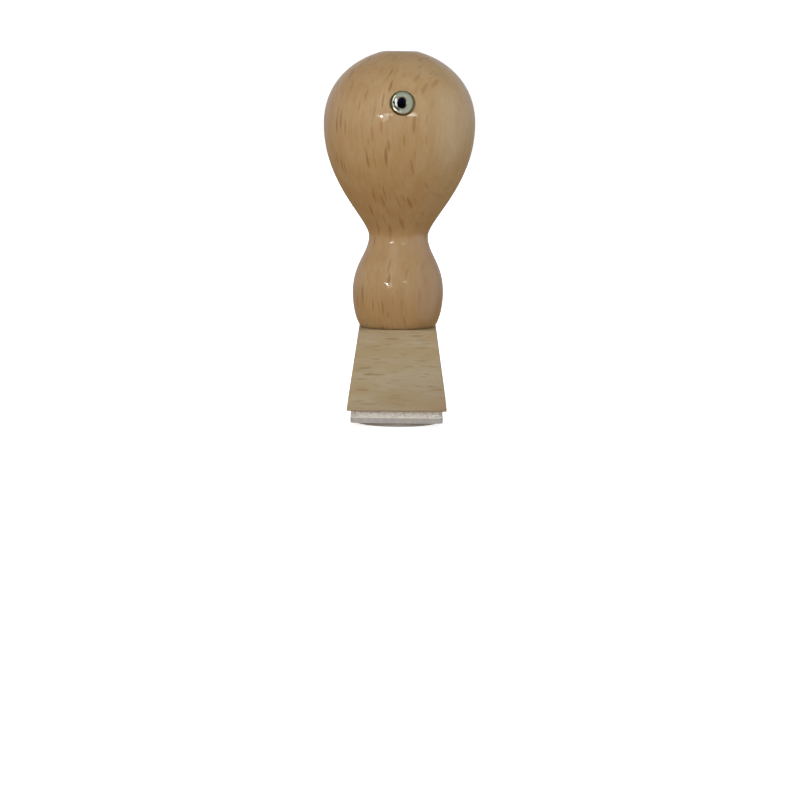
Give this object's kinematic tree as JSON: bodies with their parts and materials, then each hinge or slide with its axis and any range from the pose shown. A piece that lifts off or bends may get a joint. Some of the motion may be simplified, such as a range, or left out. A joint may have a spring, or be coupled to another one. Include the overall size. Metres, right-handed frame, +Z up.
{
  "type": "wooden hand stamp",
  "caption": "Wooden hand stamp: pear-shaped turned knob handle on a tapered square block, with a foam cushion and a rubber die below.",
  "frame": {"origin": "centre of the die's printing face, which is the surface that the stamp stands on", "axes": "+Z up through the block and the handle to the crown, -Y to the front, where the eyelet is, +X to the right as the eyelet is seen"},
  "size_m": [0.0378, 0.0381, 0.0928],
  "materials": {
    "lacquered_beech": "gloss clear lacquer on turned beech",
    "bare_beech": "matt, sanded and unlacquered beech",
    "nickel_plate": "bright nickel plate",
    "zinc_steel": "zinc-plated steel, hidden inside",
    "die_rubber": "matt grey rubber",
    "cushion_foam": "matt fine-celled foam",
    "adhesive_film": "thin satin double-sided film"
  },
  "bodies": {
    "root": {"rubber_die": "die_rubber", "die_film": "adhesive_film", "foam_cushion": "cushion_foam", "cushion_film": "adhesive_film", "block": "bare_beech", "handle": "lacquered_beech", "handle_screw": "zinc_steel", "front_eyelet": "nickel_plate"}
  },
  "joints": []
}
